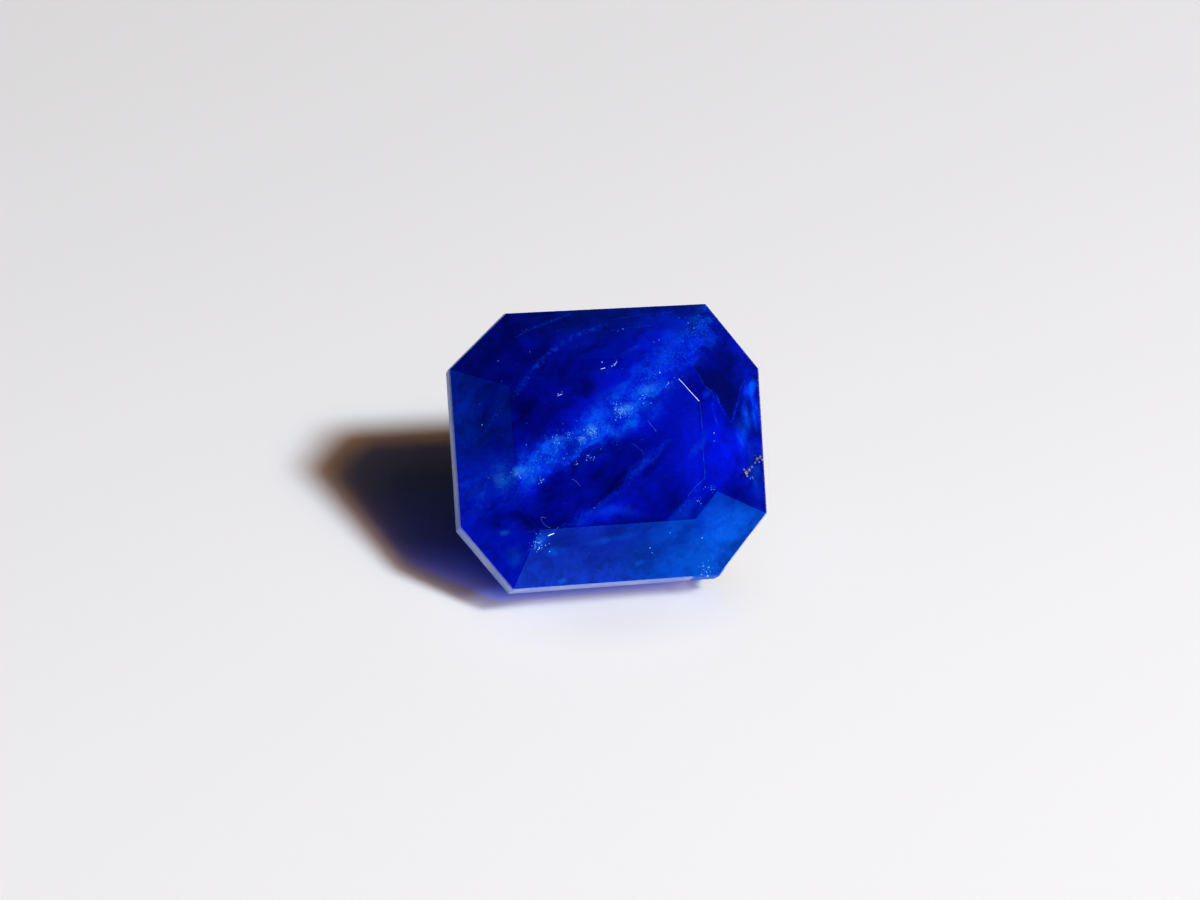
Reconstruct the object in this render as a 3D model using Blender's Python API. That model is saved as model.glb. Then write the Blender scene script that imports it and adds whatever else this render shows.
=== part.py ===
"""Hauyne: one loose, cut and polished stone, lying tilted on a facet of its pavilion.

An octagonal step cut: a flat table, one row of crown facets, a thick frosted girdle, and two
rows of pavilion facets that run down to a short keel. Metres, +Z up.
"""

import math

import bmesh
import bpy
from mathutils import Vector

MM = 0.001

# The outline at the girdle, about 6.3 by 5.6, from the left end round over the back. It is cut
# by hand, so no two of its clipped corners are the same.
OUTLINE = [
    (-3.12 * MM, 1.72 * MM),
    (-1.91 * MM, 2.79 * MM),
    (2.20 * MM, 2.78 * MM),
    (3.17 * MM, 1.40 * MM),
    (3.08 * MM, -1.56 * MM),
    (2.00 * MM, -2.75 * MM),
    (-2.18 * MM, -2.78 * MM),
    (-3.14 * MM, -1.47 * MM),
]

CROWN_HEIGHT = 0.55 * MM
CROWN_ANGLE = math.radians(26.5)
GIRDLE_THICKNESS = 0.45 * MM

# The pavilion was ground slightly out of true with the table, as the rise of its plane per
# metre along X and along Y, which leaves the girdle thicker at the front left corner.
PAVILION_RISE_X = 0.030
PAVILION_RISE_Y = 0.045

# Upper pavilion row, from the girdle down to the step, and lower row, from the step to the keel.
STEP_DEPTH = 1.45 * MM
UPPER_ANGLE = math.radians(52.0)
UPPER_CORNER_ANGLE = math.radians(50.0)
LOWER_ANGLE = math.radians(43.0)
LOWER_CORNER_ANGLE = math.radians(44.0)

# Corners closer than this, where facets nearly meet in one point, are made one.
SMALLEST_EDGE = 0.02 * MM


def outline():
    """The eight sides of the girdle: outward direction in plan, distance, and if it is a corner."""
    sides = []
    for start, end in zip(OUTLINE, OUTLINE[1:] + OUTLINE[:1]):
        along = Vector(end) - Vector(start)
        direction = Vector((-along.y, along.x)).normalized()
        is_corner = min(abs(direction.x), abs(direction.y)) > 0.3
        sides.append((direction, direction.dot(Vector(start)), is_corner))
    return sides


def crown_planes():
    """The table, the girdle and the crown, each as a point on its plane and its normal."""
    planes = [(Vector((0, 0, CROWN_HEIGHT)), Vector((0, 0, 1)))]
    for direction, distance, _ in outline():
        flat = Vector((direction.x, direction.y, 0))
        planes.append((flat * distance, flat))
        normal = flat * math.sin(CROWN_ANGLE) + Vector((0, 0, math.cos(CROWN_ANGLE)))
        planes.append((flat * distance, normal))
    return planes


def pavilion_planes():
    """The two rows of the pavilion, each as a point on its plane and its normal."""
    plane_normal = Vector((-PAVILION_RISE_X, -PAVILION_RISE_Y, 1)).normalized()
    out_of_true = Vector((0, 0, 1)).rotation_difference(plane_normal).to_matrix()
    foot = Vector((0, 0, -GIRDLE_THICKNESS))
    planes = []
    for direction, distance, is_corner in outline():
        flat = Vector((direction.x, direction.y, 0))
        upper = UPPER_CORNER_ANGLE if is_corner else UPPER_ANGLE
        normal = flat * math.sin(upper) - Vector((0, 0, math.cos(upper)))
        planes.append((foot + out_of_true @ (flat * distance), out_of_true @ normal))

        lower = LOWER_CORNER_ANGLE if is_corner else LOWER_ANGLE
        inset = STEP_DEPTH / math.tan(upper)
        step = flat * (distance - inset) - Vector((0, 0, STEP_DEPTH))
        normal = flat * math.sin(lower) - Vector((0, 0, math.cos(lower)))
        planes.append((foot + out_of_true @ step, out_of_true @ normal))
    return planes


def resting_turn():
    """Turns the stone so that the front long side's lower pavilion facet faces straight down."""
    for point, normal in pavilion_planes():
        angle = math.degrees(math.acos(-normal.z))
        if abs(normal.x) < 0.1 and normal.y < 0 and angle < math.degrees(UPPER_ANGLE) - 5:
            return normal.rotation_difference(Vector((0, 0, -1))).to_matrix()


def grind(bm, point, normal):
    """Takes off everything outside one plane and closes the stone with the new facet."""
    everything = bm.verts[:] + bm.edges[:] + bm.faces[:]
    cut = bmesh.ops.bisect_plane(
        bm, geom=everything, dist=1e-9, plane_co=point, plane_no=normal, clear_outer=True
    )
    rim = [item for item in cut["geom_cut"] if isinstance(item, bmesh.types.BMEdge)]
    if len(rim) >= 3:
        bmesh.ops.contextual_create(bm, geom=rim)


def stone_material():
    material = bpy.data.materials.new("hauyne_blue")
    material.use_nodes = True
    shader = material.node_tree.nodes["Principled BSDF"]
    shader.inputs["Base Color"].default_value = (0.012, 0.035, 0.48, 1.0)
    shader.inputs["Roughness"].default_value = 0.03
    shader.inputs["Metallic"].default_value = 0.0
    shader.inputs["IOR"].default_value = 1.50
    shader.inputs["Transmission Weight"].default_value = 1.0
    return material


def build():
    for item in list(bpy.data.objects):
        bpy.data.objects.remove(item, do_unlink=True)

    bm = bmesh.new()
    bmesh.ops.create_cube(bm, size=20 * MM)
    for point, normal in crown_planes() + pavilion_planes():
        grind(bm, point, normal.normalized())
    bmesh.ops.remove_doubles(bm, verts=bm.verts[:], dist=SMALLEST_EDGE)
    bmesh.ops.recalc_face_normals(bm, faces=bm.faces[:])

    # The stone lies on a pavilion facet, which turns its table forward by about 40 degrees.
    bmesh.ops.rotate(bm, verts=bm.verts[:], cent=(0, 0, 0), matrix=resting_turn())
    low = Vector([min(v.co[axis] for v in bm.verts) for axis in range(3)])
    high = Vector([max(v.co[axis] for v in bm.verts) for axis in range(3)])
    foot = Vector(((low.x + high.x) / 2, (low.y + high.y) / 2, low.z))
    bmesh.ops.translate(bm, verts=bm.verts[:], vec=-foot)

    mesh = bpy.data.meshes.new("hauyne_stone")
    bm.to_mesh(mesh)
    bm.free()
    mesh.materials.append(stone_material())
    stone = bpy.data.objects.new("hauyne_stone", mesh)
    bpy.context.scene.collection.objects.link(stone)
    return stone


build()
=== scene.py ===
import math
import random

import bmesh
import bpy
from mathutils import Euler, Matrix, Vector
from mathutils.bvhtree import BVHTree


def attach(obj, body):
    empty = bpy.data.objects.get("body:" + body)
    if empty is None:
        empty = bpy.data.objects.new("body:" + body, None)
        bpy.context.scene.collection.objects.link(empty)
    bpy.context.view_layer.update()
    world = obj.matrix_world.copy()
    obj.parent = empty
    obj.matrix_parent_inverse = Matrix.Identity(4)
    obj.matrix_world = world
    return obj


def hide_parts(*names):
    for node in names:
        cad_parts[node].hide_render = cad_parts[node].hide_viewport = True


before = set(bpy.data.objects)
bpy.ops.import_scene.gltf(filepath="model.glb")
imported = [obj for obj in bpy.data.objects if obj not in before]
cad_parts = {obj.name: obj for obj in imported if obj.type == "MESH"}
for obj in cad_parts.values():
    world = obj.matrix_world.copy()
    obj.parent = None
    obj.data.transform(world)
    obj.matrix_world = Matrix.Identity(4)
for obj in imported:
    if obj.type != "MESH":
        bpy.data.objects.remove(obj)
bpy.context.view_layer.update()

# Everything inside the stone is measured in millimetres and made metres at the end.
MM = 0.001

# The view: degrees round the stone, degrees above the surface, and how far the frame is turned.
VIEW_AZIMUTH = -11.0
VIEW_ELEVATION = 41.03
VIEW_ROLL = 3.17
VIEW_DISTANCE = 66.57
VIEW_AIM = Vector((-0.208, -0.209, 2.437))
LENS = 100.0
SENSOR = 36.0
PHOTO_WIDE = 1200
PHOTO_HIGH = 900

# Optics of hauyne: refractive index, and how much of red, green and blue a millimetre takes.
STONE_IOR = 1.50
TAKEN_PER_MM = (2.60, 1.70, 0.30)

# The share of lamp light that straight shadow rays keep where they enter the stone, deep down
# and near its thin edge, and where they leave it.
LAMP_IN_BACK = (0.03, 0.03, 0.04)
LAMP_IN_DEEP = (0.03, 0.02, 0.12)
LAMP_IN_EDGE = (3.9, 0.88, 0.46)
LAMP_IN_FRONT = (4.5, 1.80, 1.04)
LAMP_IN_CORNER = (1.8, 1.5, 1.1)
LAMP_OUT = (0.95, 0.95, 0.95)

# Where the key light stands, as its travel down to the stone, and its distance.
KEY_TRAVEL = Vector((-0.588, 0.306, -0.760))
GLOW_TRAVEL = Vector((-0.558, 0.290, -0.760))
KEY_DISTANCE = 500.0
KEY_WIDTH = 80.0
KEY_POWER = 3.08
GLOW_WIDTH = 150.0
GLOW_POWER = 1.47
HALO_WIDTH = 420.0
HALO_POWER = 0.25


def view_axes():
    """Right, up and back of the camera."""
    azimuth = math.radians(VIEW_AZIMUTH)
    rise = math.radians(VIEW_ELEVATION)
    roll = math.radians(VIEW_ROLL)
    back = Vector((
        math.sin(azimuth) * math.cos(rise),
        -math.cos(azimuth) * math.cos(rise),
        math.sin(rise),
    ))
    level = Vector((math.cos(azimuth), math.sin(azimuth), 0))
    upright = back.cross(level)
    right = level * math.cos(roll) + upright * math.sin(roll)
    up = upright * math.cos(roll) - level * math.sin(roll)
    return right, up, back


def stone_mesh():
    """The stone's facets as whole polygons, in millimetres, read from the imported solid."""
    bm = bmesh.new()
    bm.from_mesh(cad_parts["hauyne_stone"].data)
    bmesh.ops.scale(bm, verts=bm.verts[:], vec=(1000, 1000, 1000))
    bmesh.ops.remove_doubles(bm, verts=bm.verts[:], dist=0.0005)
    bmesh.ops.dissolve_limit(
        bm, angle_limit=math.radians(0.4), verts=bm.verts[:], edges=bm.edges[:]
    )
    bmesh.ops.recalc_face_normals(bm, faces=bm.faces[:])
    bm.normal_update()
    return bm


RAW = stone_mesh()
FACETS = [(face.calc_center_median().copy(), face.normal.copy()) for face in RAW.faces]
TABLE = max(RAW.faces, key=lambda face: face.calc_area())
UP = TABLE.normal.copy()
LONG = (Vector((1, 0, 0)) - UP * UP.x).normalized()
DEEP = UP.cross(LONG)
MIDDLE = TABLE.calc_center_median() - UP * 0.55
SURFACE = BVHTree.FromBMesh(RAW)
STONE_AXES = Matrix((LONG, DEEP, UP))


def in_plan(u, v, w):
    """A point of the stone from its place along, across and above the girdle's plane."""
    return MIDDLE + LONG * u + DEEP * v + UP * w


def to_plan(point):
    offset = point - MIDDLE
    return Vector((offset.dot(LONG), offset.dot(DEEP), offset.dot(UP)))


def seen_at(x, y, depth):
    """The point in the stone that shows at x, y of the photograph, and the facet's normal there.

    The line of sight bends as it enters, and the point lies depth below the facet over it.
    """
    right, up, back = view_axes()
    eye = VIEW_AIM + back * VIEW_DISTANCE
    pixels = LENS / SENSOR * PHOTO_WIDE
    ray = right * ((x - PHOTO_WIDE / 2) / pixels) - up * ((y - PHOTO_HIGH / 2) / pixels) - back
    ray.normalize()
    place, normal, _, _ = SURFACE.ray_cast(eye, ray)
    if place is None:
        place, normal, _, _ = SURFACE.find_nearest(eye + ray * VIEW_DISTANCE)
        return place - normal * depth, normal
    ratio = 1 / STONE_IOR
    facing = -ray.dot(normal)
    bent = math.sqrt(1 - ratio * ratio * (1 - facing * facing))
    inside = ray * ratio + normal * (ratio * facing - bent)
    return place + inside * (depth / -inside.dot(normal)), normal


def finish_piece(bm, name, materials, smooth=False):
    """Makes the millimetre mesh an object in metres that rides with the stone."""
    bmesh.ops.scale(bm, verts=bm.verts[:], vec=(MM, MM, MM))
    mesh = bpy.data.meshes.new(name)
    bm.to_mesh(mesh)
    bm.free()
    for material in materials:
        mesh.materials.append(material)
    if smooth:
        mesh.shade_smooth()
    else:
        mesh.shade_flat()
    piece = bpy.data.objects.new(name, mesh)
    bpy.context.scene.collection.objects.link(piece)
    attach(piece, "root")
    return piece


def new_material(name):
    material = bpy.data.materials.new(name)
    material.use_nodes = True
    tree = material.node_tree
    shader = tree.nodes["Principled BSDF"]
    return material, tree, shader


def let_lamps_through(tree, shader, one_sided=False):
    """Makes a surface clear to the straight rays that look for lamps, and maybe from behind."""
    path = node(tree, "ShaderNodeLightPath")
    clear = node(tree, "ShaderNodeBsdfTransparent")
    mix = node(tree, "ShaderNodeMixShader")
    share = path.outputs["Is Shadow Ray"]
    if one_sided:
        side = node(tree, "ShaderNodeNewGeometry")
        share = math_node(tree, "MAXIMUM", share, side.outputs["Backfacing"])
    tree.links.new(share, mix.inputs["Fac"])
    tree.links.new(shader.outputs[0], mix.inputs[1])
    tree.links.new(clear.outputs[0], mix.inputs[2])
    tree.links.new(mix.outputs[0], tree.nodes["Material Output"].inputs["Surface"])
    return clear


def node(tree, kind, **settings):
    made = tree.nodes.new(kind)
    for key, value in settings.items():
        setattr(made, key, value)
    return made


def math_node(tree, operation, first, second=None, clamp=False):
    made = node(tree, "ShaderNodeMath", operation=operation, use_clamp=clamp)
    for slot, value in enumerate((first, second)):
        if value is None:
            continue
        if isinstance(value, (int, float)):
            made.inputs[slot].default_value = value
        else:
            tree.links.new(value, made.inputs[slot])
    return made.outputs[0]


def fade(tree, value, start, end, low=0.0, high=1.0):
    """Turns value into low at start and high at end, smoothly between."""
    made = node(tree, "ShaderNodeMapRange", interpolation_type="SMOOTHSTEP")
    tree.links.new(value, made.inputs["Value"])
    made.inputs["From Min"].default_value = start
    made.inputs["From Max"].default_value = end
    made.inputs["To Min"].default_value = low
    made.inputs["To Max"].default_value = high
    return made.outputs["Result"]


def noise(tree, vector, scale, detail=4.0, roughness=0.55, seed=0.0):
    shifted = node(tree, "ShaderNodeVectorMath", operation="ADD")
    tree.links.new(vector, shifted.inputs[0])
    shifted.inputs[1].default_value = (seed, seed * 0.7, -seed * 1.3)
    made = node(tree, "ShaderNodeTexNoise")
    made.inputs["Scale"].default_value = scale
    made.inputs["Detail"].default_value = detail
    made.inputs["Roughness"].default_value = roughness
    tree.links.new(shifted.outputs[0], made.inputs["Vector"])
    return made.outputs["Fac"]


def stone_plan(tree):
    """Millimetres along, across and above the girdle's plane, from the Object coordinates."""
    coordinates = node(tree, "ShaderNodeTexCoord")
    turn = node(tree, "ShaderNodeMapping", vector_type="POINT")
    turn.inputs["Scale"].default_value = (1000, 1000, 1000)
    turn.inputs["Rotation"].default_value = STONE_AXES.to_euler("XYZ")
    turn.inputs["Location"].default_value = -(STONE_AXES @ MIDDLE)
    tree.links.new(coordinates.outputs["Object"], turn.inputs["Vector"])
    return turn.outputs["Vector"]


def mixed_colour(tree, factor, first, second):
    """Goes from the first colour to the second as factor goes from 0 to 1."""
    made = node(tree, "ShaderNodeMix", data_type="RGBA")
    tree.links.new(factor, made.inputs["Factor"])
    ends = [socket for socket in made.inputs if socket.type == "RGBA"]
    for socket, colour in zip(ends, (first, second)):
        if isinstance(colour, tuple):
            socket.default_value = (*colour, 1)
        else:
            tree.links.new(colour, socket)
    return [socket for socket in made.outputs if socket.type == "RGBA"][0]


# One photograph pixel on the table, in millimetres.
PER_PIXEL = 0.0203


def streak(tree, plan, ends, width, depth):
    """One along the middle of an oval patch, and zero at its rim.

    Its two ends are where it shows in the photograph, at a depth under the facet, and its half
    width is in pixels. It goes straight down through the stone.
    """
    first, last = (to_plan(seen_at(x, y, depth)[0]) for x, y in (ends[:2], ends[2:]))
    reach = last - first
    oval = node(tree, "ShaderNodeMapping", vector_type="TEXTURE")
    oval.inputs["Location"].default_value = (first + last) / 2
    oval.inputs["Rotation"].default_value = (0, 0, math.atan2(reach.y, reach.x))
    oval.inputs["Scale"].default_value = (reach.length / 2, width * PER_PIXEL, 50)
    tree.links.new(plan, oval.inputs["Vector"])
    far = node(tree, "ShaderNodeVectorMath", operation="LENGTH")
    tree.links.new(oval.outputs[0], far.inputs[0])
    return fade(tree, far.outputs["Value"], 1.0, 0.1)


def streaks(tree, plan, rows, depth=0.3):
    """All the patches of one kind together, each with its own strength."""
    total = None
    for *ends, width, strength in rows:
        one = math_node(tree, "MULTIPLY", streak(tree, plan, ends, width, depth), strength)
        total = one if total is None else math_node(tree, "ADD", total, one)
    return total


# Patches of the milky matter: both ends in the photograph, half width, strength.
BLUE_PATCHES = [
    (455, 520, 560, 440, 42, 0.55),
    (540, 470, 700, 330, 45, 0.55),
    (690, 520, 722, 385, 34, 0.80),
    (735, 420, 752, 500, 26, 0.85),
    (560, 560, 700, 430, 22, 0.30),
    (470, 560, 530, 545, 26, 0.45),
    (600, 345, 700, 330, 22, 0.45),
    (452, 385, 462, 440, 14, 0.55),
    (470, 575, 530, 535, 24, 0.55),
    (560, 530, 650, 505, 16, 0.40),
    (720, 420, 745, 490, 26, 0.40),
    (462, 350, 505, 330, 12, 0.25),
    (458, 502, 505, 468, 24, 0.65),
    (452, 480, 492, 455, 18, 0.55),
    (448, 375, 458, 420, 12, 0.50),
    (600, 420, 672, 425, 22, 0.35),
    (640, 330, 735, 345, 20, 0.40),
    (620, 320, 704, 313, 13, 0.85),
    (480, 500, 500, 560, 26, 0.30),
]
AZURE_PATCHES = [
    (645, 562, 740, 545, 30, 0.50),
    (690, 545, 760, 520, 36, 0.42),
    (680, 545, 758, 503, 26, 0.35),
    (640, 560, 712, 490, 11, 0.45),
    (690, 572, 722, 560, 8, 0.60),
    (480, 575, 520, 560, 14, 0.35),
    (560, 520, 660, 512, 9, 0.35),
    (520, 480, 575, 440, 16, 0.45),
    (738, 415, 748, 455, 9, 0.55),
    (752, 440, 760, 505, 9, 0.40),
    (530, 552, 552, 534, 9, 0.50),
    (452, 505, 500, 470, 16, 0.15),
    (618, 490, 672, 436, 4, 0.45),
    (556, 535, 622, 486, 5, 0.35),
    (650, 378, 690, 345, 18, 0.22),
    (690, 470, 706, 430, 5, 0.45),
]
AZURE_SPOTS = [
    (622, 408, 654, 384, 10, 0.60),
    (573, 446, 606, 426, 10, 0.50),
    (708, 490, 718, 486, 4, 0.30),
]
CROWN_SPOTS = [
    (748, 394, 759, 377, 7, 0.45),
    (540, 554, 568, 547, 7, 0.60),
    (575, 546, 648, 532, 5, 0.50),
    (556, 585, 568, 578, 4, 1.00),
    (633, 566, 646, 560, 4, 0.80),
    (498, 534, 511, 532, 4, 1.00),
    (703, 397, 713, 388, 6, 0.50),
    (690, 577, 722, 562, 8, 0.60),
    (528, 552, 552, 534, 9, 0.30),
]
PALE_PATCHES = [
    (582, 433, 600, 430, 9, 1.0),
    (574, 442, 588, 440, 6, 0.8),
    (610, 418, 634, 404, 9, 0.9),
    (506, 476, 528, 471, 9, 0.40),
    (486, 482, 502, 478, 8, 0.15),
    (450, 499, 461, 496, 6, 0.10),
    (548, 445, 566, 436, 6, 0.4),
    (634, 398, 660, 380, 7, 0.35),
]
DARK_PATCHES = [
    (500, 420, 540, 395, 24, 0.65),
    (505, 365, 575, 345, 26, 0.55),
    (515, 318, 610, 318, 16, 0.75),
    (462, 355, 505, 318, 10, 0.55),
    (590, 500, 640, 462, 27, 0.52),
    (704, 344, 744, 368, 15, 0.60),
    (716, 368, 735, 412, 15, 0.50),
    (560, 400, 612, 372, 20, 0.50),
    (530, 500, 560, 485, 16, 0.45),
    (470, 521, 552, 519, 13, 0.75),
    (465, 400, 500, 450, 22, 0.35),
    (640, 360, 665, 355, 10, 0.30),
]


def beyond_outline(tree, plan):
    """How far outside the girdle's outline a point lies, in millimetres; negative inside."""
    parts = node(tree, "ShaderNodeSeparateXYZ")
    tree.links.new(plan, parts.inputs[0])
    along = math_node(tree, "ABSOLUTE", parts.outputs["X"])
    across = math_node(tree, "ABSOLUTE", parts.outputs["Y"])
    corner = math_node(tree, "ADD", math_node(tree, "MULTIPLY", along, 0.75),
                       math_node(tree, "MULTIPLY", across, 0.66))
    sides = math_node(tree, "MAXIMUM", math_node(tree, "SUBTRACT", along, 3.13),
                      math_node(tree, "SUBTRACT", across, 2.78))
    return math_node(tree, "MAXIMUM", sides, math_node(tree, "SUBTRACT", corner, 3.36))


def cloud_group():
    """The milky matter in the stone: how dense it is, and how azure, fibrous and speckled."""
    tree = bpy.data.node_groups.new("milky_matter", "ShaderNodeTree")
    for name in ("Blue", "Azure", "Pale", "Band", "Dots", "Clear", "Rim", "Beyond"):
        tree.interface.new_socket(name=name, in_out="OUTPUT", socket_type="NodeSocketFloat")
    out = node(tree, "NodeGroupOutput")
    plan = stone_plan(tree)

    warp = node(tree, "ShaderNodeTexNoise")
    warp.inputs["Scale"].default_value = 1.5
    warp.inputs["Detail"].default_value = 3.0
    warp.inputs["Roughness"].default_value = 0.6
    tree.links.new(plan, warp.inputs["Vector"])
    centred = node(tree, "ShaderNodeVectorMath", operation="SUBTRACT")
    tree.links.new(warp.outputs["Color"], centred.inputs[0])
    centred.inputs[1].default_value = (0.5, 0.5, 0.5)
    bent = node(tree, "ShaderNodeVectorMath", operation="MULTIPLY_ADD")
    tree.links.new(centred.outputs[0], bent.inputs[0])
    bent.inputs[1].default_value = (0.8, 0.8, 0.8)
    tree.links.new(plan, bent.inputs[2])
    bent = bent.outputs[0]

    # The band, as the distance from a bowed sheet that stands across the stone.
    start = to_plan(seen_at(455, 498, 0.3)[0])
    end = to_plan(seen_at(705, 320, 0.3)[0])
    half = (end - start).length / 2
    run = (end - start).normalized()
    across = run.cross(Vector((0.12, 0.10, -1))).normalized()
    if across.y < 0:
        across = -across
    along = node(tree, "ShaderNodeVectorMath", operation="DOT_PRODUCT")
    tree.links.new(bent, along.inputs[0])
    along.inputs[1].default_value = run
    from_middle = math_node(tree, "SUBTRACT", along.outputs["Value"], start.dot(run) + half)
    share = math_node(tree, "DIVIDE", from_middle, half)
    squared = math_node(tree, "MULTIPLY", share, share)
    sag = math_node(tree, "MULTIPLY", math_node(tree, "SUBTRACT", 1.0, squared), BAND_SAG)
    away = node(tree, "ShaderNodeVectorMath", operation="DOT_PRODUCT")
    tree.links.new(bent, away.inputs[0])
    away.inputs[1].default_value = across
    distance = math_node(tree, "SUBTRACT", away.outputs["Value"], start.dot(across))
    apart = math_node(tree, "ABSOLUTE", math_node(tree, "ADD", distance, sag))

    # Fibres run with the band, and mottling breaks up everything.
    fibre = node(tree, "ShaderNodeMapping", vector_type="TEXTURE")
    fibre.inputs["Rotation"].default_value = (0, 0, math.atan2(run.y, run.x))
    fibre.inputs["Scale"].default_value = (2.6, 0.8, 1.0)
    tree.links.new(bent, fibre.inputs["Vector"])
    fibres = noise(tree, fibre.outputs[0], 2.4, 5.0, 0.66, 3.1)
    mottle = noise(tree, plan, 3.0, 5.0, 0.72, 7.7)
    patchy = math_node(tree, "MULTIPLY", fade(tree, fibres, 0.38, 0.60),
                       fade(tree, mottle, 0.36, 0.60, 0.2, 1.0))

    blue = math_node(tree, "MULTIPLY", streaks(tree, bent, BLUE_PATCHES),
                     fade(tree, mottle, 0.36, 0.60, 0.35, 1.25))
    blue = math_node(tree, "ADD", blue, math_node(tree, "MULTIPLY", patchy, 0.24))
    tree.links.new(blue, out.inputs["Blue"])
    rim = math_node(tree, "MULTIPLY", fade(tree, beyond_outline(tree, bent), -0.80, -0.05),
                    fade(tree, mottle, 0.34, 0.60, 0.5, 1.1))
    tree.links.new(rim, out.inputs["Rim"])
    tree.links.new(beyond_outline(tree, plan), out.inputs["Beyond"])
    clear = math_node(tree, "SUBTRACT", 1.0, streaks(tree, bent, DARK_PATCHES), clamp=True)
    wisps = fade(tree, fibres, 0.36, 0.58, 0.55, 1.0)
    tree.links.new(math_node(tree, "MULTIPLY", clear, wisps), out.inputs["Clear"])

    azure = math_node(tree, "ADD", streaks(tree, bent, AZURE_PATCHES),
                      streaks(tree, plan, AZURE_SPOTS))
    azure = math_node(tree, "ADD", azure, streaks(tree, plan, CROWN_SPOTS, 0.03))
    azure = math_node(tree, "MULTIPLY", azure, fade(tree, mottle, 0.36, 0.62, 0.7, 1.15),
                      clamp=True)
    tree.links.new(azure, out.inputs["Azure"])

    pale = math_node(tree, "MULTIPLY", streaks(tree, plan, PALE_PATCHES),
                     fade(tree, mottle, 0.34, 0.60, 0.2, 1.0), clamp=True)
    tree.links.new(pale, out.inputs["Pale"])

    reach = math_node(tree, "MULTIPLY", fade(tree, share, -0.95, -0.65, 0.25, 1.0),
                      fade(tree, share, 0.35, 0.85, 1.0, 0.45))
    broad = math_node(tree, "MULTIPLY", fade(tree, apart, 0.60, 0.05), reach)
    tree.links.new(math_node(tree, "MULTIPLY", broad, patchy), out.inputs["Band"])

    # Specks: one in each small cell, sharp and bright only near the middle of the band.
    cells = node(tree, "ShaderNodeTexVoronoi")
    cells.inputs["Scale"].default_value = 19.0
    tree.links.new(plan, cells.inputs["Vector"])
    dot = fade(tree, cells.outputs["Distance"], 0.46, 0.18)
    tint = node(tree, "ShaderNodeSeparateColor")
    tree.links.new(cells.outputs["Color"], tint.inputs[0])
    chosen = fade(tree, tint.outputs[0], 0.30, 0.75)
    narrow = math_node(tree, "MULTIPLY", fade(tree, apart, 0.46, 0.05), reach)
    crowded = math_node(tree, "MULTIPLY", narrow, fade(tree, fibres, 0.38, 0.58))
    dots = math_node(tree, "MULTIPLY", math_node(tree, "MULTIPLY", dot, chosen), crowded)
    tree.links.new(dots, out.inputs["Dots"])
    return tree


# How far the band bows towards the front of the stone, halfway along it.
BAND_SAG = 0.49
CLOUD = cloud_group()


def stone_glass():
    """Clear deep blue stone, with a faint unevenness left by polishing."""
    material, tree, shader = new_material("hauyne_glass")
    shader.inputs["Base Color"].default_value = (0.94, 0.97, 1.0, 1)
    shader.inputs["IOR"].default_value = STONE_IOR
    shader.inputs["Transmission Weight"].default_value = 1.0
    plan = stone_plan(tree)
    streaks = node(tree, "ShaderNodeMapping")
    streaks.inputs["Scale"].default_value = (1.0, 22.0, 22.0)
    tree.links.new(plan, streaks.inputs["Vector"])
    lines = noise(tree, streaks.outputs[0], 1.0, 2.0, 0.5, 5.0)
    tree.links.new(fade(tree, lines, 0.35, 0.75, 0.008, 0.035), shader.inputs["Roughness"])
    bump = node(tree, "ShaderNodeBump")
    bump.inputs["Strength"].default_value = 0.02
    bump.inputs["Distance"].default_value = 0.00001
    tree.links.new(lines, bump.inputs["Height"])
    tree.links.new(bump.outputs[0], shader.inputs["Normal"])

    volume = node(tree, "ShaderNodeVolumeAbsorption")
    most = max(TAKEN_PER_MM)
    volume.inputs["Color"].default_value = (*[1 - taken / most for taken in TAKEN_PER_MM], 1)
    volume.inputs["Density"].default_value = most * 1000
    tree.links.new(volume.outputs[0], tree.nodes["Material Output"].inputs["Volume"])

    # Lamp light passes in to what lies inside, and little of it passes right through.
    side = node(tree, "ShaderNodeNewGeometry")
    clear = let_lamps_through(tree, shader)
    parts = node(tree, "ShaderNodeSeparateXYZ")
    tree.links.new(plan, parts.inputs[0])
    forward = math_node(tree, "SUBTRACT", parts.outputs["Y"],
                        fade(tree, parts.outputs["X"], 1.0, 2.4, 0.0, 0.9))
    edge = math_node(tree, "MULTIPLY", fade(tree, parts.outputs["Z"], -2.1, -0.5),
                     fade(tree, forward, -0.8, -2.2))
    shallow = mixed_colour(tree, fade(tree, parts.outputs["Y"], -2.3, -2.7),
                           LAMP_IN_EDGE, LAMP_IN_FRONT)
    shallow = mixed_colour(tree, fade(tree, parts.outputs["X"], 1.65, 1.90),
                           shallow, LAMP_IN_CORNER)
    deep = mixed_colour(tree, fade(tree, forward, 0.8, -1.0), LAMP_IN_BACK, LAMP_IN_DEEP)
    enters = mixed_colour(tree, edge, deep, shallow)
    through = mixed_colour(tree, side.outputs["Backfacing"], enters, LAMP_OUT)
    tree.links.new(through, clear.inputs["Color"])
    return material


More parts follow.
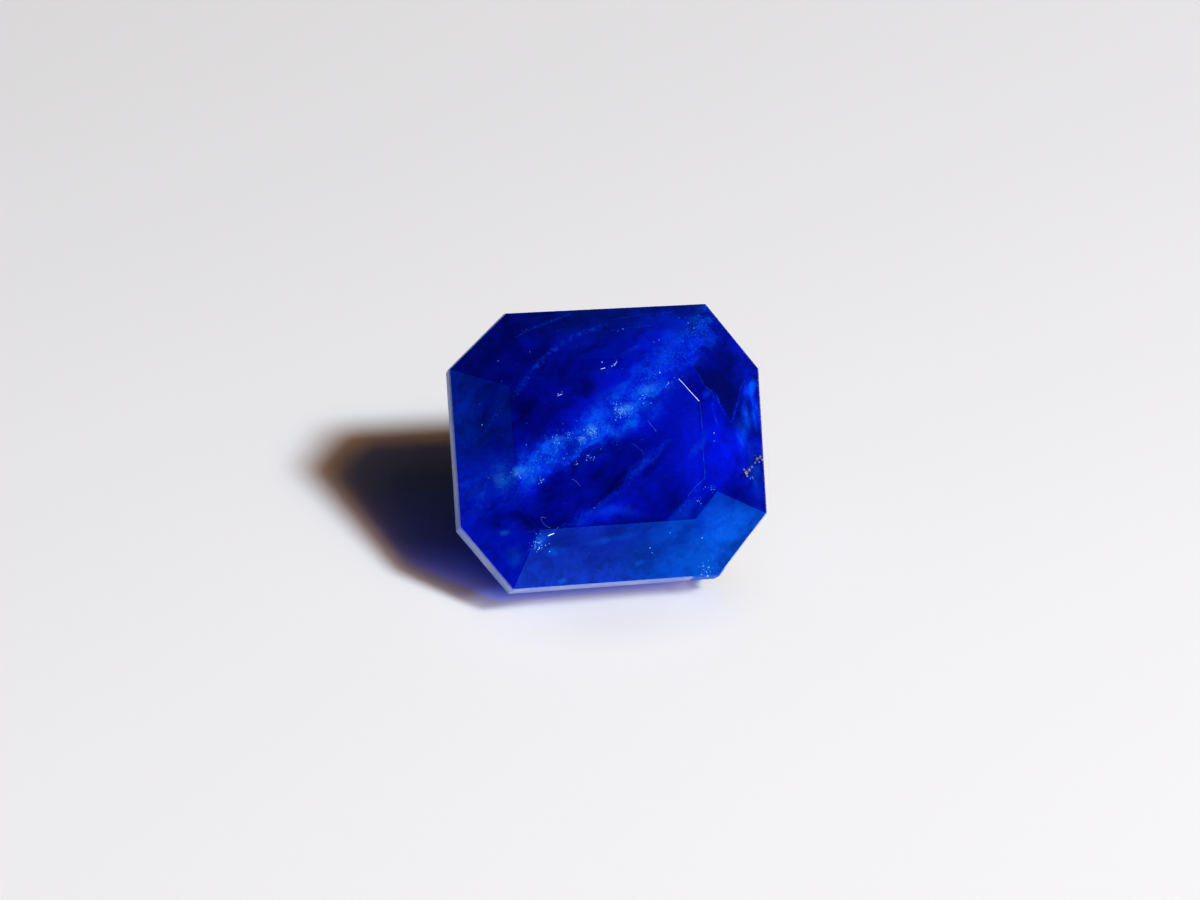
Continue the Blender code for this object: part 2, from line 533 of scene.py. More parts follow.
def girdle_frost():
    """The ground edge, pale with a lavender cast, with fine pits."""
    material, tree, shader = new_material("frosted_girdle")
    plan = stone_plan(tree)
    pits = noise(tree, plan, 14.0, 5.0, 0.7, 2.0)
    patch = noise(tree, plan, 1.6, 3.0, 0.5, 9.0)
    tint = mixed_colour(
        tree, fade(tree, patch, 0.3, 0.7), (0.37, 0.48, 1.0), (0.54, 0.65, 1.0)
    )
    parts = node(tree, "ShaderNodeSeparateXYZ")
    tree.links.new(plan, parts.inputs[0])
    chip_start = to_plan(seen_at(693, 576, 0)[0]).x
    ragged = math_node(tree, "ADD", parts.outputs["X"], math_node(tree, "MULTIPLY", pits, 0.2))
    chip = math_node(tree, "MULTIPLY", fade(tree, ragged, chip_start + 0.06, chip_start + 0.14),
                     fade(tree, parts.outputs["Y"], -2.60, -2.72))
    tint = mixed_colour(tree, chip, tint, (0.004, 0.17, 0.95))
    tree.links.new(tint, shader.inputs["Base Color"])
    tree.links.new(fade(tree, pits, 0.3, 0.7, 0.45, 0.75), shader.inputs["Roughness"])
    bump = node(tree, "ShaderNodeBump")
    bump.inputs["Strength"].default_value = 0.4
    bump.inputs["Distance"].default_value = 0.00002
    tree.links.new(pits, bump.inputs["Height"])
    tree.links.new(bump.outputs[0], shader.inputs["Normal"])
    shader.inputs["IOR"].default_value = STONE_IOR

    # Light that gets in low on the girdle has farther to go, so less of it comes through.
    clear = let_lamps_through(tree, shader)
    forward = math_node(tree, "SUBTRACT", parts.outputs["Y"],
                        fade(tree, parts.outputs["X"], 1.0, 2.4, 0.0, 0.9))
    front = math_node(tree, "MULTIPLY", fade(tree, forward, -2.3, -2.7),
                      fade(tree, parts.outputs["X"], -2.4, -1.2, 0.5, 1.0))
    low = fade(tree, parts.outputs["Z"], -0.02, -0.55)
    enters = mixed_colour(tree, front, mixed_colour(tree, low, (0.24, 0.20, 0.24), (0.14, 0.10, 0.13)),
                          mixed_colour(tree, low, (0.82, 0.82, 0.96), (0.49, 0.47, 0.72)))
    side = node(tree, "ShaderNodeNewGeometry")
    through = mixed_colour(tree, side.outputs["Backfacing"], enters, LAMP_OUT)
    tree.links.new(through, clear.inputs["Color"])
    return material


def cloud_material(name, inset, share, dots, near, far=None, rim=0.0, even=0.0, glow=0.0):
    """Milky matter at one depth: share of the patches it holds, and an even veil over them.

    The veil's density and colour are near's, or go over to far's along an axis of the stone. The
    shallowest layer is denser just inside the girdle, by rim, and the others fade out there.
    Dark patches show less where even is higher. The glow stands for light that has scattered
    many times in the stone.
    """
    material, tree, shader = new_material(name)
    masks = node(tree, "ShaderNodeGroup", node_tree=CLOUD)
    veil, deep = near
    if far:
        other_veil, other_deep, axis, start, end = far
        parts = node(tree, "ShaderNodeSeparateXYZ")
        tree.links.new(stone_plan(tree), parts.inputs[0])
        place = fade(tree, parts.outputs[axis], start, end)
        deep = mixed_colour(tree, place, deep, other_deep)
        veil = fade(tree, place, 0.0, 1.0, veil, other_veil)
    band = math_node(tree, "MULTIPLY", masks.outputs["Band"], 1.25)
    patches = math_node(tree, "ADD", masks.outputs["Blue"], masks.outputs["Azure"])
    patches = math_node(tree, "ADD", patches, masks.outputs["Pale"])
    dense = math_node(tree, "MULTIPLY", math_node(tree, "ADD", patches, band), share)
    hazy = math_node(tree, "MULTIPLY", math_node(tree, "ADD", dense, veil),
                     fade(tree, masks.outputs["Clear"], 0.0, 1.0, even, 1.0))
    if rim:
        dusty = math_node(tree, "MULTIPLY", masks.outputs["Rim"], rim)
        hazy = math_node(tree, "ADD", hazy, dusty)
    else:
        within = fade(tree, masks.outputs["Beyond"], -inset - 0.45, -inset - 0.02, 1.0, 0.0)
        hazy = math_node(tree, "MULTIPLY", hazy, within)
    specks = math_node(tree, "MULTIPLY", masks.outputs["Dots"], dots)
    cover = math_node(tree, "ADD", hazy, specks, clamp=True)
    tree.links.new(cover, shader.inputs["Alpha"])
    how_azure = math_node(tree, "MAXIMUM", masks.outputs["Azure"], band)
    tint = mixed_colour(tree, how_azure, deep, (0.004, 0.20, 1.0))
    tint = mixed_colour(tree, math_node(tree, "MULTIPLY", masks.outputs["Pale"], 0.85), tint,
                        (0.14, 0.50, 0.95))
    tint = mixed_colour(tree, specks, tint, (0.04, 0.50, 1.0))
    tree.links.new(tint, shader.inputs["Base Color"])
    tree.links.new(tint, shader.inputs["Emission Color"])
    shader.inputs["Emission Strength"].default_value = glow
    shader.inputs["Roughness"].default_value = 1.0
    shader.inputs["Specular IOR Level"].default_value = 0.0
    let_lamps_through(tree, shader, one_sided=True)
    return material


def grain_material(name, dark, light, glow):
    """Crystal specks, from dark to light over the stone; glow is painted light that they give off."""
    material, tree, shader = new_material(name)
    plan = stone_plan(tree)
    spread = noise(tree, plan, 6.0, 3.0, 0.6, 4.0)
    tint = mixed_colour(tree, fade(tree, spread, 0.3, 0.7), dark, light)
    tree.links.new(tint, shader.inputs["Base Color"])
    tree.links.new(fade(tree, spread, 0.3, 0.7, 0.5, 0.9), shader.inputs["Roughness"])
    tree.links.new(tint, shader.inputs["Emission Color"])
    shader.inputs["Emission Strength"].default_value = glow
    return material


def cut_stone(inset):
    """The stone's own shape, with every facet moved in by inset millimetres."""
    bm = bmesh.new()
    bmesh.ops.create_cube(bm, size=20)
    bmesh.ops.translate(bm, verts=bm.verts[:], vec=MIDDLE)
    for centre, normal in FACETS:
        cut = bmesh.ops.bisect_plane(
            bm,
            geom=bm.verts[:] + bm.edges[:] + bm.faces[:],
            dist=1e-5,
            plane_co=centre - normal * inset,
            plane_no=normal,
            clear_outer=True,
        )
        rim = [item for item in cut["geom_cut"] if isinstance(item, bmesh.types.BMEdge)]
        if len(rim) >= 3:
            bmesh.ops.contextual_create(bm, geom=rim)
    bmesh.ops.remove_doubles(bm, verts=bm.verts[:], dist=0.01)
    bmesh.ops.recalc_face_normals(bm, faces=bm.faces[:])
    return bm


def build_stone(glass, frost):
    """The polished stone: narrow worn edges between its facets, and the frosted girdle.

    The girdle is polished at the front right corner only, and its upper rim is sharp at the
    back and on the right.
    """
    bm = RAW.copy()
    bm.normal_update()
    rubbed = [
        edge for edge in bm.edges
        if min(abs(face.normal.dot(UP)) for face in edge.link_faces) < 0.1
        and max(face.normal.dot(UP) for face in edge.link_faces) > 0.6
    ]
    for edges, width in ((rubbed, 0.034), (None, 0.008)):
        bmesh.ops.bevel(
            bm,
            geom=edges or bm.edges[:],
            offset=width,
            offset_type="OFFSET",
            affect="EDGES",
            segments=1,
            profile=0.5,
            material=-1,
            clamp_overlap=True,
        )
    bmesh.ops.recalc_face_normals(bm, faces=bm.faces[:])
    bm.normal_update()
    polished = (STONE_AXES.transposed() @ Vector((0.75, -0.66, 0))).normalized()
    for face in bm.faces:
        side = STONE_AXES @ face.normal
        frosted = -0.45 < side.z < 0.6 and face.normal.dot(polished) < 0.99
        if side.z > 0.1 and (side.y > 0.3 * abs(side.x) and side.x > -0.2 or side.x > 0.8):
            frosted = False
        face.material_index = 1 if frosted else 0
    return finish_piece(bm, "polished_stone", [glass, frost])


# Each layer's depth under the facets, share of the patches, veil and strength of the specks.
CLOUD_LAYERS = (
    (0.014, 0.22, 0.03, 0.3),
    (0.14, 0.32, 0.06, 0.5),
    (0.28, 0.45, 0.10, 0.5),
    (0.55, 0.60, 0.16, 0.4),
)


def build_cloud_layers():
    """The milky matter, as nested layers that follow the stone's own facets.

    The shallowest layer is milkier under the front facets, greenish under the left facet, and
    thin along the pavilion, where it gives off painted light.
    """
    plain = (0.002, 0.022, 0.90)
    for number, (inset, share, veil, dots) in enumerate(CLOUD_LAYERS, 1):
        layer = cut_stone(inset)
        if number > 1:
            materials = [
                cloud_material(f"milky_layer_{number}", inset, share, dots, (veil, plain))
            ]
        else:
            materials = [
                cloud_material(
                    name, inset, share * more, 0.0 if glow else dots, near, far, rim, even, glow
                )
                for name, more, rim, even, near, far, glow in (
                    ("milky_layer_1", 1.0, 0.40, 0.0, (veil, plain), None, 0.0),
                    ("milky_front", 2.4, 0.40, 0.5, (0.38, (0.017, 0.105, 1.0)),
                     (0.46, (0.003, 0.16, 1.0), "X", -0.5, 1.1), 0.0),
                    ("milky_corner", 2.0, 0.40, 0.5, (0.32, (0.003, 0.12, 0.80)), None, 0.0),
                    ("milky_left", 1.0, 0.40, 0.0, (0.54, (0.0005, 0.020, 1.0)),
                     (0.34, (0.0005, 0.048, 0.68), "Y", -1.0, 0.5), 0.0),
                    ("milky_back", 1.0, 0.20, 0.0, (0.02, (0.001, 0.015, 0.70)),
                     (0.12, (0.0008, 0.036, 0.74), "X", -1.9, -0.4), 0.0),
                    ("milky_back_left", 1.0, 0.22, 0.0, (0.02, (0.001, 0.02, 0.80)), None, 0.0),
                    ("milky_pavilion_painted_glow", 0.6, 0.0, 0.6, (0.16, (0.001, 0.02, 1.0)), None, 0.42),
                )
            ]
            for face in layer.faces:
                side = STONE_AXES @ face.normal
                if side.z < 0.7 or side.z > 0.99:
                    face.material_index = 6 if side.z < -0.1 else 0
                    continue
                if side.y < -0.2:
                    face.material_index = 2 if side.x > 0.2 else 3 if side.x < -0.2 else 1
                elif side.y > 0.2:
                    face.material_index = 0 if side.x > 0.2 else 5 if side.x < -0.2 else 4
                elif side.x < -0.2:
                    face.material_index = 3
        finish_piece(layer, f"cloud_layer_{number}", materials)


def add_grain(bm, place, size, turn, finish=0):
    matrix = Matrix.Translation(place) @ turn.to_matrix().to_4x4()
    made = bmesh.ops.create_icosphere(bm, subdivisions=1, radius=size, matrix=matrix)
    for vert in made["verts"]:
        for face in vert.link_faces:
            face.material_index = finish


BAND_LINE = [
    (455, 500), (478, 481), (518, 473), (545, 455), (578, 440), (600, 428), (622, 412),
    (650, 384), (672, 358), (690, 336), (705, 318),
]


def along(line, step):
    """The point that lies step of the way along a row of photograph points."""
    place = step * (len(line) - 1)
    index = min(int(place), len(line) - 2)
    part = place - index
    return [line[index][axis] * (1 - part) + line[index + 1][axis] * part for axis in (0, 1)]


def build_band_specks(pale, dusty):
    """Fine crystals scattered along the milky band: mostly blue dust, and some pale ones."""
    rng = random.Random(41)
    bm = bmesh.new()
    for number in range(1500):
        x, y = along(BAND_LINE, rng.random())
        spread = 4.5 if rng.random() < 0.6 else 11.0
        x += rng.gauss(0, spread)
        y += rng.gauss(0, spread)
        place, _ = seen_at(x, y, 0.04 + rng.random() ** 2 * 0.5)
        size = 0.005 + 0.010 * rng.random() ** 3
        finish = 1 if number % 26 == 0 else 0
        add_grain(bm, place, size, Euler((rng.random() * 3, rng.random() * 3, 0)), finish)
    return finish_piece(bm, "band_specks", [dusty, pale])


def build_bright_blobs(material):
    """The band's whitest spots, each a cluster of crystals."""
    rng = random.Random(8)
    bm = bmesh.new()
    spots = [
        (591, 432, 4.5, 70), (581, 441, 3.0, 26), (622, 411, 7.0, 90), (518, 474, 7.0, 14),
        (495, 479, 6.0, 18), (556, 438, 2.5, 10), (568, 434, 2.5, 10), (541, 480, 3.0, 10),
        (591, 457, 4.0, 14), (577, 463, 2.0, 7), (645, 396, 6.0, 16), (667, 385, 2.0, 5),
        (538, 544, 8.0, 40), (712, 489, 5.0, 12), (698, 500, 4.0, 9), (706, 571, 6.0, 26),
        (751, 477, 3.0, 9), (758, 459, 3.0, 6),
    ]
    for x, y, spread, count in spots:
        for _ in range(count):
            place, _ = seen_at(
                x + rng.gauss(0, spread * 0.6), y + rng.gauss(0, spread * 0.6),
                (0.012 if y > 530 else 0.06) + 0.15 * rng.random() * (y < 530),
            )
            size = 0.005 + 0.010 * rng.random() ** 2
            add_grain(bm, place, size, Euler((rng.random() * 3, rng.random() * 3, 0)))
    return finish_piece(bm, "band_bright_spots", [material])


def build_stray_specks(material):
    """Single crystals away from the band, where the photograph shows them."""
    rng = random.Random(77)
    bm = bmesh.new()
    known = [
        (602, 362, 0.020), (604, 368, 0.016), (612, 366, 0.018), (614, 364, 0.014),
        (558, 394, 0.016), (562, 392, 0.012), (482, 425, 0.014), (688, 323, 0.018),
        (694, 328, 0.012), (650, 548, 0.016), (652, 553, 0.012), (702, 538, 0.016),
        (623, 329, 0.014), (618, 331, 0.010), (659, 340, 0.012), (654, 342, 0.010),
        (714, 433, 0.014), (714, 441, 0.014), (670, 533, 0.010), (594, 508, 0.012),
        (651, 403, 0.014), (668, 382, 0.012), (632, 408, 0.012), (498, 361, 0.010),
    ]
    for x, y, size in known:
        place, _ = seen_at(x, y, 0.013)
        add_grain(bm, place, size * (0.95 if y > 530 else 0.75), Euler((rng.random() * 3, rng.random() * 3, 0)))
    for _ in range(420):
        u = rng.uniform(-3.0, 3.0)
        v = rng.uniform(-2.6, 2.6)
        w = rng.uniform(-2.6, 0.65)
        place = in_plan(u, v, w)
        nearest, normal, _, _ = SURFACE.find_nearest(place)
        if (place - nearest).dot(normal) > -0.06:
            continue
        add_grain(bm, place, 0.004 + 0.008 * rng.random() ** 3,
                  Euler((rng.random() * 3, rng.random() * 3, 0)))
    return finish_piece(bm, "stray_specks", [material])


# Fine bright lines: the row of points where one shows, its thickness, and its finish, which is
# a glowing painted glint, pale or blue in that order.
HAIR_LINES = [
    ([(679, 379), (699, 401)], 0.0052, 0),
    ([(700, 402), (702, 425), (703, 451), (705, 478)], 0.005, 2),
    ([(705, 478), (697, 485), (688, 496)], 0.005, 2),
    ([(648, 421), (652, 426), (656, 431)], 0.003, 1),
    ([(631, 443), (638, 447), (643, 452), (644, 463)], 0.003, 2),
    ([(572, 479), (577, 482), (580, 486)], 0.003, 1),
    ([(541, 517), (542, 522), (546, 526), (550, 528)], 0.003, 1),
    ([(541, 517), (546, 518)], 0.003, 1),
    ([(548, 536), (551, 534.5), (554, 533.5)], 0.009, 0),
    ([(554, 531), (559, 527)], 0.004, 1),
    ([(527, 551), (531, 549)], 0.006, 1),
    ([(584, 559), (587, 555), (590, 552)], 0.003, 1),
    ([(571, 575), (573, 570), (578, 566)], 0.003, 1),
    ([(596, 570), (600, 571), (605, 573)], 0.003, 1),
    ([(470, 536), (486, 533), (500, 532)], 0.004, 2),
    ([(510, 532), (524, 532), (538, 532)], 0.003, 2),
    ([(500, 534), (504, 531)], 0.009, 2),
    ([(504, 535), (508, 531)], 0.009, 2),
    ([(515, 338), (521, 334), (527, 331), (540, 326), (552, 321), (570, 314)], 0.002, 2),
    ([(604, 332), (625, 328), (652, 325)], 0.002, 2),
    ([(610, 320), (640, 315), (672, 312)], 0.002, 2),
    ([(614, 366), (616, 363), (617, 361)], 0.003, 0),
    ([(601, 369), (605, 368)], 0.005, 0),
    ([(558, 396), (562, 394)], 0.0035, 0),
]


def build_hairs(bright, pale, blue):
    """Needles, scratches and edges, as fine tapered rods; the brightest ones glow as painted glints."""
    bm = bmesh.new()
    for line, thickness, finish in HAIR_LINES:
        places = [seen_at(x, y, 0.03 if finish else 0.015)[0] for x, y in line]
        for first, last in zip(places, places[1:]):
            reach = last - first
            matrix = (
                Matrix.Translation((first + last) / 2)
                @ reach.to_track_quat("Z", "X").to_matrix().to_4x4()
            )
            made = bmesh.ops.create_cone(
                bm, cap_ends=True, segments=5, radius1=thickness * 0.7, radius2=thickness,
                depth=reach.length * 1.02, matrix=matrix,
            )
            for vert in made["verts"]:
                for face in vert.link_faces:
                    face.material_index = finish
    return finish_piece(bm, "hair_lines", [bright, pale, blue])


# Where healed cracks come near the facets: the row of points, half width and density.
CRACK_LINES = [
    ([(509, 396), (517, 391), (525, 381), (533, 372), (541, 362), (550, 353), (560, 345),
      (577, 335), (595, 329), (610, 323)], 4.5, 0.50),
    ([(509, 396), (502, 405), (496, 415), (490, 424), (484, 432), (474, 443)], 3.0, 0.35),
    ([(606, 376), (613, 364), (622, 355), (634, 348), (646, 344), (657, 341)], 3.0, 0.30),
    ([(657, 341), (673, 346), (682, 354), (693, 366)], 2.0, 0.30),
    ([(693, 366), (700, 376), (704, 385), (711, 390), (716, 394)], 1.8, 0.6),
    ([(714, 391), (718, 398), (723, 409), (729, 417), (732, 422)], 2.6, 0.7),
    ([(714, 393), (713, 403), (714, 414), (717, 423), (719, 430)], 2.0, 0.55),
    ([(730, 424), (732, 419), (734, 413), (736, 406), (738, 399), (740, 389), (743, 382),
      (749, 377), (757, 374)], 2.6, 0.9),
    ([(731, 421), (735, 430), (738, 438), (741, 449), (745, 459)], 3.0, 0.5),
    ([(671, 437), (664, 445), (656, 453), (648, 462), (641, 469), (634, 475), (628, 482),
      (620, 490), (612, 496), (606, 501), (598, 505), (592, 509), (580, 517), (568, 524),
      (561, 528)], 4.0, 0.20),
    ([(672, 515), (682, 508), (690, 500), (698, 487), (703, 481)], 4.0, 0.4),
    ([(520, 333), (534, 327), (548, 322), (568, 314)], 1.8, 0.15),
    ([(640, 572), (648, 556), (656, 545), (666, 530), (676, 521)], 5.0, 0.25),
    ([(556, 584), (561, 582), (568, 578)], 4.0, 0.9),
    ([(497, 534), (502, 532), (508, 531), (514, 534)], 4.0, 0.9),
    ([(468, 537), (486, 533), (500, 532)], 3.0, 0.5),
    ([(516, 532), (528, 532), (540, 531)], 2.5, 0.45),
]


def build_cracks(film, dusty):
    """Healed cracks: narrow ribbons of trapped dust just under the facets, and loose grains."""
    rng = random.Random(19)
    ribbons = bmesh.new()
    density = ribbons.verts.layers.float.new("dust")
    dust = bmesh.new()
    for line, width, strength in CRACK_LINES:
        rows = []
        for number, (x, y) in enumerate(line):
            place, normal = seen_at(x, y, 0.06)
            before = seen_at(*line[max(number - 1, 0)], 0.06)[0]
            after = seen_at(*line[min(number + 1, len(line) - 1)], 0.06)[0]
            side = normal.cross(after - before).normalized() * width * PER_PIXEL
            at_end = number in (0, len(line) - 1)
            row = []
            for step, dense in ((-1.0, 0.0), (0.15, 0.0 if at_end else strength), (1.0, 0.0)):
                row.append(ribbons.verts.new(place + side * step))
                row[-1][density] = dense
            rows.append(row)
        for first, second in zip(rows, rows[1:]):
            for near in (0, 1):
                corners = [first[near], second[near], second[near + 1], first[near + 1]]
                bmesh.ops.contextual_create(ribbons, geom=corners)
        pixels = sum(math.dist(a, b) for a, b in zip(line, line[1:]))
        for _ in range(int(pixels * 0.5)):
            x, y = along(line, rng.random())
            place, _ = seen_at(x + rng.gauss(0, width * 0.4), y + rng.gauss(0, width * 0.4),
                               0.05 + 0.1 * rng.random())
            add_grain(dust, place, 0.003 + 0.008 * rng.random() ** 3,
                      Euler((rng.random() * 3, rng.random() * 3, 0)))
    finish_piece(ribbons, "healed_cracks", [film])
    finish_piece(dust, "crack_dust", [dusty])


def crack_material():
    """A healed crack: a film of trapped dust with gaps in it."""
    material, tree, shader = new_material("healed_crack")
    plan = stone_plan(tree)
    film = noise(tree, plan, 9.0, 5.0, 0.75, 21.0)
    gaps = noise(tree, plan, 2.0, 3.0, 0.5, 33.0)
    dust = node(tree, "ShaderNodeAttribute", attribute_name="dust")
    broken = math_node(tree, "MULTIPLY", fade(tree, film, 0.40, 0.60, 0.15, 1.0),
                       fade(tree, gaps, 0.38, 0.55, 0.35, 1.0))
    cover = math_node(tree, "MULTIPLY", dust.outputs["Fac"], broken, clamp=True)
    tree.links.new(cover, shader.inputs["Alpha"])
    tree.links.new(mixed_colour(tree, fade(tree, film, 0.45, 0.65), (0.001, 0.014, 0.80),
                                (0.006, 0.18, 1.0)), shader.inputs["Base Color"])
    shader.inputs["Roughness"].default_value = 0.8
    let_lamps_through(tree, shader)
    return material


def build_feather():
    """The azure feather at the right-hand end: a sheet with one sharp edge, dusted unevenly."""
    material, tree, shader = new_material("azure_feather")
    plan = stone_plan(tree)
    comb = node(tree, "ShaderNodeMapping")
    comb.inputs["Rotation"].default_value = (0, 0, math.radians(-12))
    comb.inputs["Scale"].default_value = (4.5, 1.6, 1.0)
    tree.links.new(plan, comb.inputs["Vector"])
    barbs = noise(tree, comb.outputs[0], 1.6, 8.0, 0.65, 12.0)
    strong = streaks(tree, plan, [
        (743, 404, 754, 377, 8, 1.8), (752, 386, 758, 436, 8, 1.0), (742, 396, 750, 440, 8, 0.7),
        (732, 412, 748, 458, 10, 0.6),
    ], 0.09)
    cover = math_node(tree, "MULTIPLY", fade(tree, barbs, 0.36, 0.60, 0.2, 0.95), strong, clamp=True)
    tree.links.new(cover, shader.inputs["Alpha"])
    tree.links.new(mixed_colour(tree, fade(tree, barbs, 0.45, 0.7), (0.002, 0.10, 1.0),
                                (0.004, 0.26, 1.0)), shader.inputs["Base Color"])
    shader.inputs["Roughness"].default_value = 0.9
    let_lamps_through(tree, shader)
    bm = bmesh.new()
    rim = [(758, 374), (749, 377), (743, 382), (740, 389), (738, 399), (735, 411), (731, 422),
           (737, 436), (745, 455), (757, 452), (762, 430), (761, 400), (760, 384)]
    verts = [bm.verts.new(seen_at(x, y, 0.09)[0]) for x, y in rim]
    made = bmesh.ops.contextual_create(bm, geom=verts)
    bmesh.ops.triangulate(bm, faces=made["faces"])
    return finish_piece(bm, "azure_feather", [material])


def build_painted_shade_plate():
    """Painted shade: a very dark sheet where the clear stone between two cracks looks dark, sharp along both,
    and faded out at the back.
    """
    material, tree, shader = new_material("painted_shade_plate")
    plan = stone_plan(tree)
    uneven = noise(tree, plan, 3.0, 3.0, 0.6, 17.0)
    depth = node(tree, "ShaderNodeAttribute", attribute_name="dust")
    cover = math_node(tree, "MULTIPLY", depth.outputs["Fac"], fade(tree, uneven, 0.3, 0.7, 0.8, 1.1),
                      clamp=True)
    tree.links.new(cover, shader.inputs["Alpha"])
    tree.links.new(mixed_colour(tree, uneven, (0.0005, 0.002, 0.06), (0.001, 0.006, 0.16)),
                   shader.inputs["Base Color"])
    shader.inputs["Roughness"].default_value = 1.0
    shader.inputs["Specular IOR Level"].default_value = 0.0
    let_lamps_through(tree, shader)
    bm = bmesh.new()
    # This vertex layer holds how dense the painted shade is at each point.
    density = bm.verts.layers.float.new("dust")
    sharp = [(693, 366), (700, 376), (704, 385), (711, 390), (716, 394), (718, 398), (723, 409),
             (731, 421), (735, 411), (738, 399), (740, 389), (743, 382), (749, 377), (757, 374)]
    faded = [(750, 361), (737, 346), (719, 344), (703, 352)]
    rows = [((722, 380), 0.85)]
    rows += [(place, 0.85) for place in sharp] + [(place, 0.0) for place in faded]
    verts = []
    for (x, y), dense in rows:
        verts.append(bm.verts.new(seen_at(x, y, 0.045)[0]))
        verts[-1][density] = dense
    middle, *rim = verts
    for first, second in zip(rim, rim[1:] + rim[:1]):
        bmesh.ops.contextual_create(bm, geom=[middle, first, second])
    return finish_piece(bm, "painted_shade_plate", [material])


def build_pyrite(material):
    """Brassy cubes near the right-hand end."""
    rng = random.Random(5)
    bm = bmesh.new()
    grains = [
        (746, 473, 0.060), (749, 470, 0.050), (744, 470, 0.036), (747, 476, 0.034),
        (752, 467, 0.040), (755, 463, 0.030), (757, 459, 0.044), (760, 457, 0.046),
        (762, 460, 0.034), (759, 462, 0.028),
    ]
    for x, y, size in grains:
        place, _ = seen_at(x, y, 0.08)
        turn = Euler((rng.random() * 3, rng.random() * 3, rng.random() * 3)).to_matrix().to_4x4()
        made = bmesh.ops.create_cube(bm, size=size * 1.2, matrix=Matrix.Translation(place) @ turn)
        edges = {edge for vert in made["verts"] for edge in vert.link_edges}
        bmesh.ops.bevel(
            bm, geom=list(edges), offset=size * 0.14, offset_type="OFFSET", affect="EDGES",
            segments=1, profile=0.5, material=-1, clamp_overlap=True,
        )
    return finish_piece(bm, "pyrite_grains", [material])


def pyrite_material():
    material, tree, shader = new_material("pyrite_brass")
    plan = stone_plan(tree)
    tarnish = noise(tree, plan, 20.0, 3.0, 0.6, 1.0)
    tint = mixed_colour(tree, tarnish, (0.72, 0.48, 0.02), (1.0, 0.86, 0.20))
    tree.links.new(tint, shader.inputs["Base Color"])
    tree.links.new(fade(tree, tarnish, 0.3, 0.7, 0.3, 0.55), shader.inputs["Roughness"])
    shader.inputs["Metallic"].default_value = 0.3
    return material


def surface_material():
    """The white surface under the stone."""
    material, tree, shader = new_material("white_surface")
    coordinates = node(tree, "ShaderNodeTexCoord")
    cloudy = noise(tree, coordinates.outputs["Object"], 40.0, 3.0, 0.5, 0.0)
    parts = node(tree, "ShaderNodeSeparateXYZ")
    tree.links.new(coordinates.outputs["Object"], parts.inputs[0])
    # Painted shade: the surface grows darker towards the back, standing in for light that falls off there.
    back = fade(tree, parts.outputs["Y"], -0.012, 0.022)
    fine = mixed_colour(tree, cloudy, (0.834, 0.856, 0.900), (0.848, 0.870, 0.914))
    tint = mixed_colour(tree, math_node(tree, "MULTIPLY", back, 0.15), fine, (0.25, 0.25, 0.24))

    # Painted shade: the surface is darker in an oval just in front of the stone, standing in for the shade the
    # stone throws there.
    shade_oval = node(tree, "ShaderNodeMapping", vector_type="TEXTURE")
    shade_oval.inputs["Location"].default_value = (-0.0002, -0.0019, 0)
    shade_oval.inputs["Scale"].default_value = (0.0036, 0.0018, 1)
    tree.links.new(coordinates.outputs["Object"], shade_oval.inputs["Vector"])
    far = node(tree, "ShaderNodeVectorMath", operation="LENGTH")
    tree.links.new(shade_oval.outputs[0], far.inputs[0])
    painted_contact_shade = fade(tree, far.outputs["Value"], 1.0, 0.15, 0.0, 0.17)
    tint = mixed_colour(tree, painted_contact_shade, tint, (0.0, 0.0, 0.02))
    tree.links.new(tint, shader.inputs["Base Color"])
    shader.inputs["Roughness"].default_value = 0.6
    shader.inputs["Specular IOR Level"].default_value = 0.2
    return material


def build_surface():
    bm = bmesh.new()
    bmesh.ops.create_grid(bm, x_segments=1, y_segments=1, size=600)
    bmesh.ops.translate(bm, verts=bm.verts[:], vec=(0, 0, -0.002))
    bmesh.ops.scale(bm, verts=bm.verts[:], vec=(MM, MM, MM))
    mesh = bpy.data.meshes.new("surface")
    bm.to_mesh(mesh)
    bm.free()
    mesh.materials.append(surface_material())
    floor = bpy.data.objects.new("surface", mesh)
    bpy.context.scene.collection.objects.link(floor)


def build_camera():
    right, up, back = view_axes()
    data = bpy.data.cameras.new("view")
    data.lens = LENS
    data.sensor_width = SENSOR
    data.clip_start = 0.001
    data.clip_end = 10
    camera = bpy.data.objects.new("view", data)
    bpy.context.scene.collection.objects.link(camera)
    place = (VIEW_AIM + back * VIEW_DISTANCE) * MM
    turn = Matrix((right, up, back)).transposed().to_4x4()
    camera.matrix_world = Matrix.Translation(place) @ turn
    bpy.context.scene.camera = camera


def lamp(name, power, colour, width):
    """A round soft light that shows in no reflection."""
    data = bpy.data.lights.new(name, "AREA")
    data.shape = "DISK"
    data.size = width * MM
    data.energy = power
    data.color = colour
    made = bpy.data.objects.new(name, data)
    bpy.context.scene.collection.objects.link(made)
    made.visible_camera = False
    made.visible_glossy = False
    made.visible_transmission = False
    return made


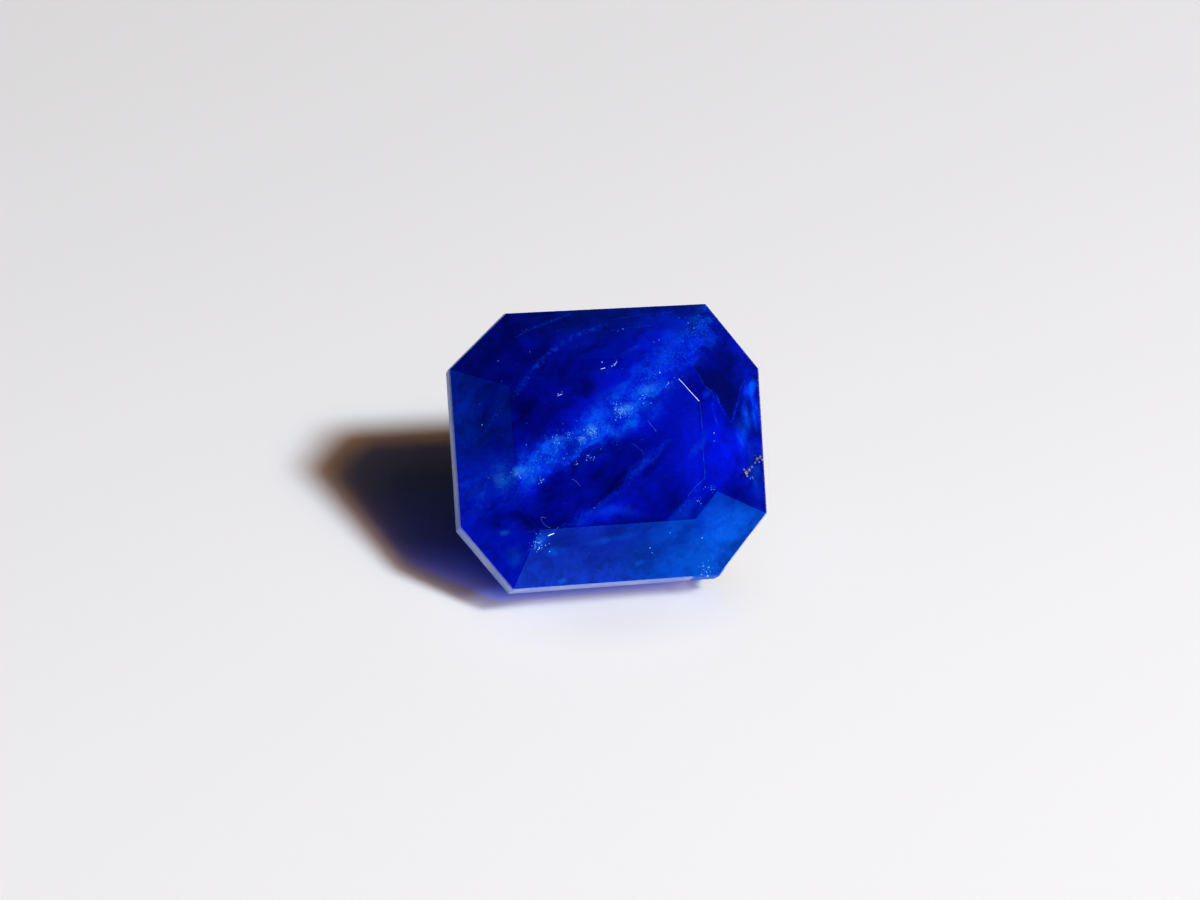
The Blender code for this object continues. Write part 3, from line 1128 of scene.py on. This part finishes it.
def build_lights():
    key = lamp("key", KEY_POWER, (0.604, 0.825, 1.0), KEY_WIDTH)
    travel = KEY_TRAVEL.normalized()
    key.location = (MIDDLE - travel * KEY_DISTANCE) * MM
    key.rotation_euler = travel.to_track_quat("-Z", "Y").to_euler()

    # Two wider warm lamps by the key make the shadow's border soft and brownish.
    for name, power, colour, width, travel in (
        ("glow", GLOW_POWER, (1.0, 0.50, 0.10), GLOW_WIDTH, GLOW_TRAVEL.normalized()),
        ("halo", HALO_POWER, (1.0, 0.60, 0.28), HALO_WIDTH, travel),
    ):
        wide = lamp(name, power, colour, width)
        wide.location = (MIDDLE - travel * KEY_DISTANCE) * MM
        wide.rotation_euler = travel.to_track_quat("-Z", "Y").to_euler()

    world = bpy.data.worlds.new("room")
    world.use_nodes = True
    background = world.node_tree.nodes["Background"]
    background.inputs["Color"].default_value = (0.85, 0.9, 1.0, 1)
    background.inputs["Strength"].default_value = 0.025
    scene = bpy.context.scene
    scene.world = world
    scene.view_settings.view_transform = "Standard"
    scene.view_settings.gamma = 0.85
    scene.cycles.transparent_max_bounces = 48
    scene.cycles.max_bounces = 8
    scene.cycles.transmission_bounces = 7
    scene.cycles.diffuse_bounces = 2
    scene.cycles.sample_clamp_indirect = 3.0
    scene.cycles.caustics_refractive = False
    scene.cycles.caustics_reflective = False


build_camera()
build_lights()
build_surface()
stone = build_stone(stone_glass(), girdle_frost())
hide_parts("hauyne_stone")
build_cloud_layers()
# The pale crystals and the blue dust give off a little painted light, so they show bright all round.
pale = grain_material("pale_crystals", (0.05, 0.46, 0.95), (0.58, 1.0, 0.95), 0.42)
dusty = grain_material("blue_dust", (0.003, 0.09, 0.95), (0.02, 0.34, 1.0), 0.15)
build_band_specks(pale, dusty)
build_bright_blobs(pale)
build_stray_specks(pale)
# The first of these finishes glows: painted glints on edges and needles.
build_hairs(grain_material("painted_glint_edge", (0.68, 1.0, 0.95), (0.90, 1.0, 0.88), 1.0),
            grain_material("scratch", (0.10, 0.25, 0.60), (0.45, 0.60, 0.85), 0.0),
            grain_material("blue_edge", (0.004, 0.06, 0.60), (0.03, 0.26, 0.90), 0.0))
build_cracks(crack_material(), dusty)
build_feather()
# A sheet of painted shade between two cracks on the right.
build_painted_shade_plate()
build_pyrite(pyrite_material())
